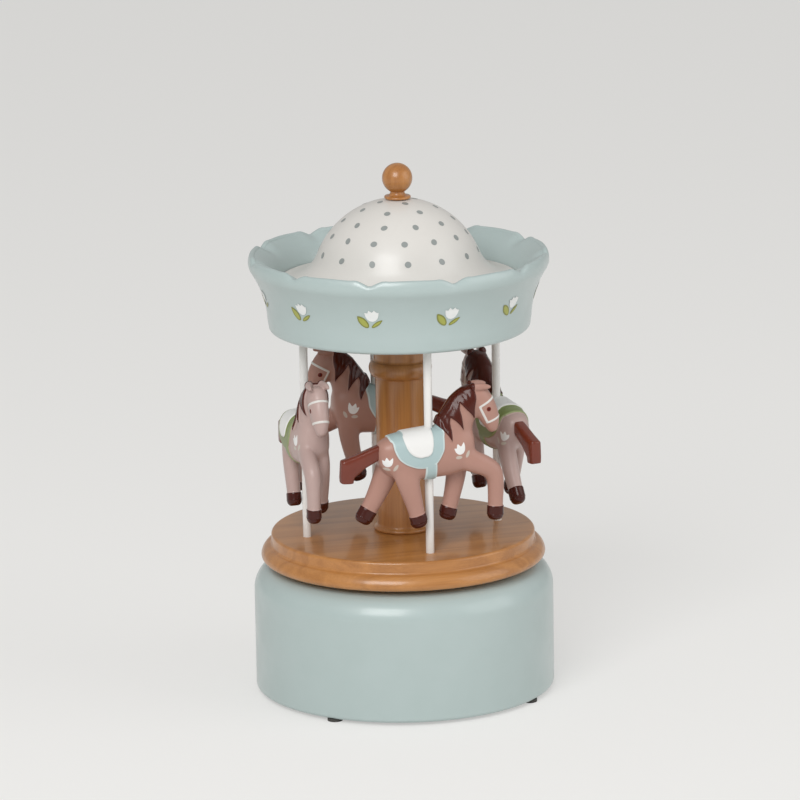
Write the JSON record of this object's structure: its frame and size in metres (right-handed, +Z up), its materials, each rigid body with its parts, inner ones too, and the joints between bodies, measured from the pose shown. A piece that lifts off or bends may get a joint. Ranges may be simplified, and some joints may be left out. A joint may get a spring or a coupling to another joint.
{
  "type": "carousel music box",
  "caption": "Wind-up carousel music box: a hollow base with a musical movement, a turning platform with pillar, poles and horses, and a domed roof.",
  "frame": {"origin": "on the table under the middle of the base", "axes": "+Z up along the turning axis; the front horse stands at -Y and faces +X"},
  "size_m": [0.116, 0.116, 0.2062],
  "materials": {
    "sage_paint": "painted wood, satin sage-blue enamel",
    "ivory_paint": "painted wood, satin off-white enamel with grey dots",
    "white_paint": "painted wood, gloss white enamel",
    "lacquered_wood": "clear gloss lacquer over honey-coloured wood",
    "rose_paint": "painted wood, satin rose-brown with white and aqua trim",
    "taupe_paint": "painted wood, satin taupe with white and green trim",
    "chestnut_paint": "painted wood, gloss chestnut",
    "felt": "pressed felt",
    "cover_board": "bare fibreboard",
    "brass": "turned and cut",
    "steel": "bright",
    "cast_plate": "as cast, grey",
    "fan_plastic": "moulded"
  },
  "bodies": {
    "base": {"base_shell": "sage_paint", "bottom_cover": "cover_board", "cover_screws": "steel", "felt_pads": "felt", "key_bush": "brass", "spindle_bush": "brass", "thrust_washer": "steel", "bedplate": "cast_plate", "bedplate_screws": "steel", "comb": "steel", "comb_screws": "steel", "governor_bracket": "brass"},
    "carousel": {"platform": "lacquered_wood", "column": "lacquered_wood", "canopy": "sage_paint", "dome": "ivory_paint", "finial": "lacquered_wood", "drive_flange": "brass", "flange_screws": "steel", "drive_spindle": "steel", "spring_barrel": "brass", "barrel_lid": "brass", "mainspring": "steel", "pole_front": "white_paint", "pole_right": "white_paint", "pole_back": "white_paint", "pole_left": "white_paint", "horse_front": "rose_paint", "horse_right": "taupe_paint", "horse_back": "rose_paint", "horse_left": "taupe_paint", "tail_front": "chestnut_paint", "tail_right": "chestnut_paint", "tail_back": "chestnut_paint", "tail_left": "chestnut_paint"},
    "key": {"winding_key": "brass", "winding_arbor": "steel"},
    "cylinder": {"pin_cylinder": "brass", "cylinder_pinion": "steel", "cylinder_wheel": "brass"},
    "governor_train": {"governor_wheel": "brass"},
    "governor": {"governor_worm": "steel", "governor_fan": "fan_plastic"}
  },
  "joints": [
    {"name": "carousel_spin", "type": "hinge", "parent": "base", "child": "carousel", "pos_m": [0, 0, 0.05], "axis": [0, 0, 1], "continuous": true},
    {"name": "key_turn", "type": "hinge", "parent": "base", "child": "key", "pos_m": [0, 0, 0.014], "axis": [0, 0, 1], "continuous": true},
    {"name": "cylinder_spin", "type": "hinge", "parent": "base", "child": "cylinder", "pos_m": [0.02, 0, 0.0325], "axis": [1, 0, 0], "continuous": true},
    {"name": "governor_train_spin", "type": "hinge", "parent": "base", "child": "governor_train", "pos_m": [0.034, -0.00882, 0.0325], "axis": [1, 0, 0], "continuous": true},
    {"name": "governor_spin", "type": "hinge", "parent": "base", "child": "governor", "pos_m": [0.0348, -0.01432, 0.03], "axis": [0, 0, 1], "continuous": true}
  ],
  "couplings": [
    {"joint": "cylinder_spin", "follows": "carousel_spin", "ratio": 3},
    {"joint": "governor_train_spin", "follows": "carousel_spin", "ratio": -7.5},
    {"joint": "governor_spin", "follows": "carousel_spin", "ratio": -150}
  ]
}
